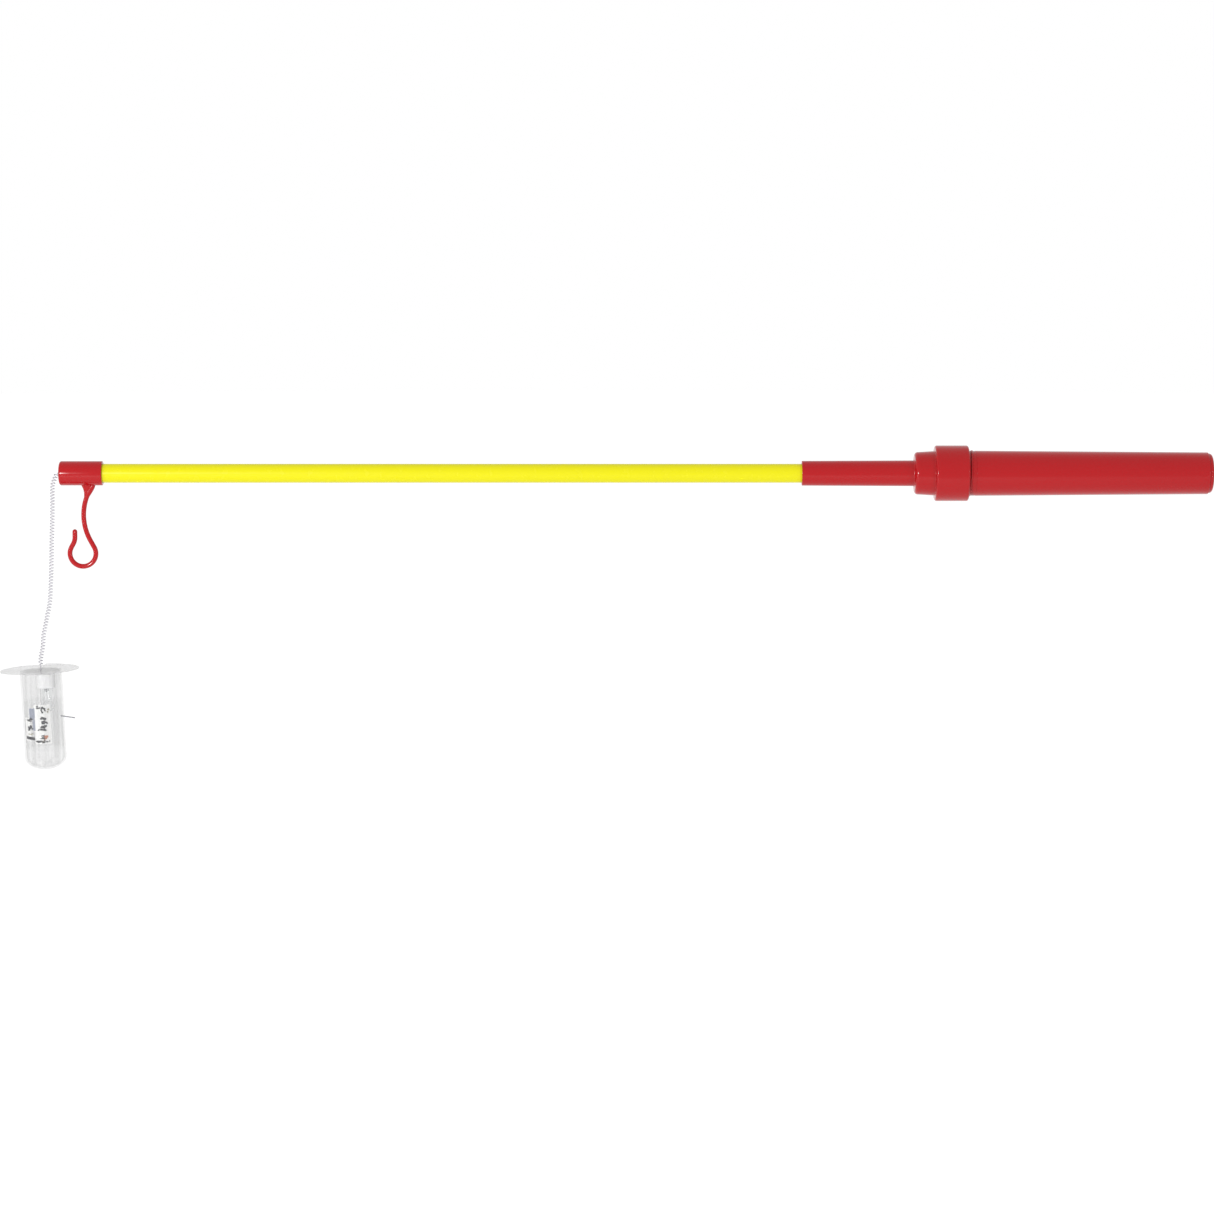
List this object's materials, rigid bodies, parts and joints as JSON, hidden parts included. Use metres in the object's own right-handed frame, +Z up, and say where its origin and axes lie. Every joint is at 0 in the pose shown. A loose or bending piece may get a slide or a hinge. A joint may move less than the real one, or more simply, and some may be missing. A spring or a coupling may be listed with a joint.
{
  "type": "electric lantern stick",
  "caption": "Battery-lit lantern stick: a red screw-on battery grip, a thin yellow rod, a red tip cap with a hook, and a small clear lamp on a curly lead.",
  "frame": {"origin": "middle of the hand grip, on the stick's axis", "axes": "+X along the stick towards the grip's closed end, +Z up with the hook and the lamp hanging towards -Z"},
  "size_m": [0.5281, 0.0346, 0.1422],
  "materials": {
    "red_moulding": "smooth and glossy",
    "yellow_tube": "smooth and glossy",
    "clear_moulding": "clear, glossy",
    "lead_sheath": "clear, soft",
    "printed_film": "clear film with a dark abstract print",
    "steel": "plated",
    "brass": "bright",
    "cell_filling": "dull powder",
    "cell_wrap": "plain wrap",
    "milky_moulding": "satin",
    "red_insulation": "soft",
    "black_insulation": "soft",
    "bulb_glass": "clear",
    "black_moulding": "satin"
  },
  "bodies": {
    "handle": {"grip_tube": "red_moulding", "grip_end_cap": "red_moulding", "spring_plate": "steel", "battery_spring": "steel", "contact_strip": "steel"},
    "cells": {"front_cell_can": "steel", "front_cell_core": "cell_filling", "front_cell_terminal": "steel", "front_cell_sleeve": "cell_wrap", "rear_cell_can": "steel", "rear_cell_core": "cell_filling", "rear_cell_terminal": "steel", "rear_cell_sleeve": "cell_wrap"},
    "stick": {"handle_head": "red_moulding", "contact_carrier": "milky_moulding", "centre_contact": "brass", "ring_contact": "steel", "positive_lead": "red_insulation", "negative_lead": "black_insulation", "rod_tube": "yellow_tube", "tip_cap": "red_moulding", "cord_gland": "milky_moulding", "cord_root": "lead_sheath"},
    "cord": {"curly_cord": "lead_sheath"},
    "knot": {"cord_knot": "lead_sheath"},
    "lamp": {"slit_disc": "clear_moulding", "bulb_holder": "clear_moulding", "socket_shell": "steel", "socket_leads": "steel", "contact_spring": "steel"},
    "button": {"contact_button": "steel"},
    "bulb": {"bulb_shell": "steel", "bulb_insulator": "black_moulding", "bulb_tip": "steel", "bulb_glass": "bulb_glass", "bulb_bead": "bulb_glass", "filament_posts": "steel", "filament": "steel"},
    "cover": {"lamp_cover": "clear_moulding", "label_liner": "printed_film", "lock_pin": "steel"}
  },
  "joints": [
    {"name": "screw_travel", "type": "slide", "parent": "handle", "child": "cells", "axis": [1, 0, 0], "range_m": [-0.0084, 0.0028], "deforming": ["battery_spring"]},
    {"name": "screw_turn", "type": "hinge", "parent": "cells", "child": "stick", "pos_m": [0, 0, 0], "axis": [1, 0, 0], "range_deg": [-1260, 420]},
    {"name": "lamp_swing", "type": "hinge", "parent": "stick", "child": "cord", "pos_m": [-0.449, 0, 0], "axis": [1, 0, 0], "range_deg": [-70, 70]},
    {"name": "lamp_pull", "type": "slide", "parent": "cord", "child": "knot", "axis": [0, 0, -1], "range_m": [0, 0.08], "stiffness_N_per_m": 4, "springref_m": -0.0095, "deforming": ["curly_cord"]},
    {"name": "lamp_nod", "type": "hinge", "parent": "knot", "child": "lamp", "pos_m": [-0.4589, 0, -0.086], "axis": [0, 1, 0], "range_deg": [-20, 20]},
    {"name": "cover_pull", "type": "slide", "parent": "lamp", "child": "cover", "axis": [0.0401, 0, -0.9992], "range_m": [0, 0.045]},
    {"name": "bulb_travel", "type": "slide", "parent": "lamp", "child": "button", "axis": [0.0401, 0, -0.9992], "range_m": [0, 0.003], "deforming": ["contact_spring"]},
    {"name": "bulb_turn", "type": "hinge", "parent": "button", "child": "bulb", "pos_m": [-0.4567, 0, -0.09092], "axis": [0.0401, 0, -0.9992], "range_deg": [0, 1080]}
  ],
  "couplings": [
    {"joint": "screw_turn", "follows": "screw_travel", "rad_per_m": 2618},
    {"joint": "bulb_turn", "follows": "bulb_travel", "rad_per_m": 6283.2}
  ]
}
